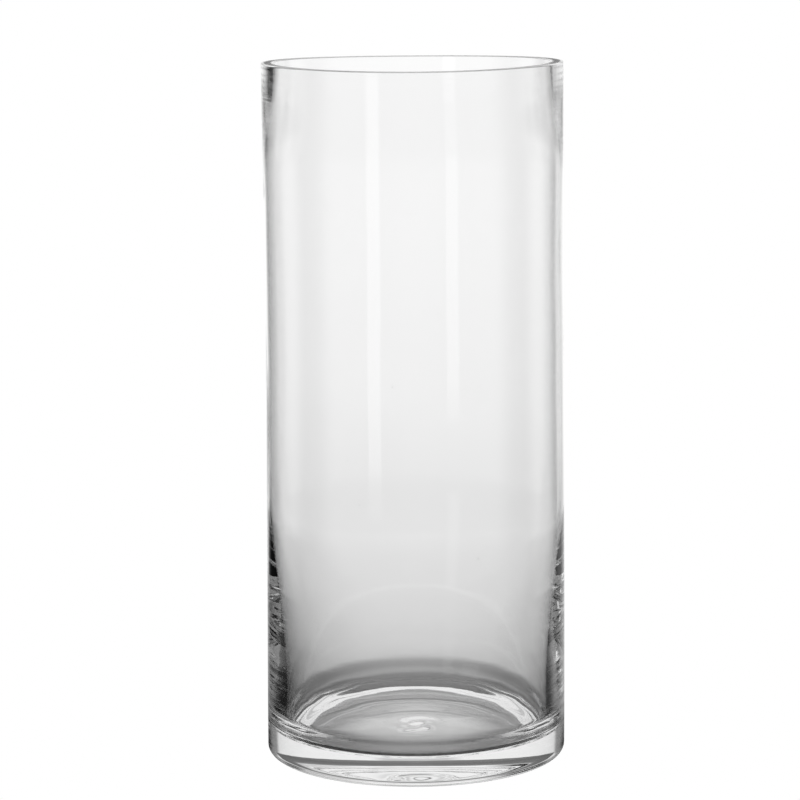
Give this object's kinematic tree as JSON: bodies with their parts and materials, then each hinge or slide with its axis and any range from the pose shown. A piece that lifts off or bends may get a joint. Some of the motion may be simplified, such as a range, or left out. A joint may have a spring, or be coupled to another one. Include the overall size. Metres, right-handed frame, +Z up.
{
  "type": "glass cylinder vase",
  "caption": "Tall clear glass cylinder vase with a thick ground rim, thin wall and heavy round base.",
  "frame": {"origin": "centre of the circle that the foot stands on, at table level", "axes": "+Z up along the vase's axis, from foot to mouth; the vase is round, so X and Y are free"},
  "size_m": [0.1516, 0.1516, 0.35],
  "materials": {
    "clear_glass": "clear soda-lime glass, fire-polished, with a satin ground rim, faint draw waves and a few tiny seeds"
  },
  "bodies": {
    "root": {"vase_body": "clear_glass"}
  },
  "joints": []
}
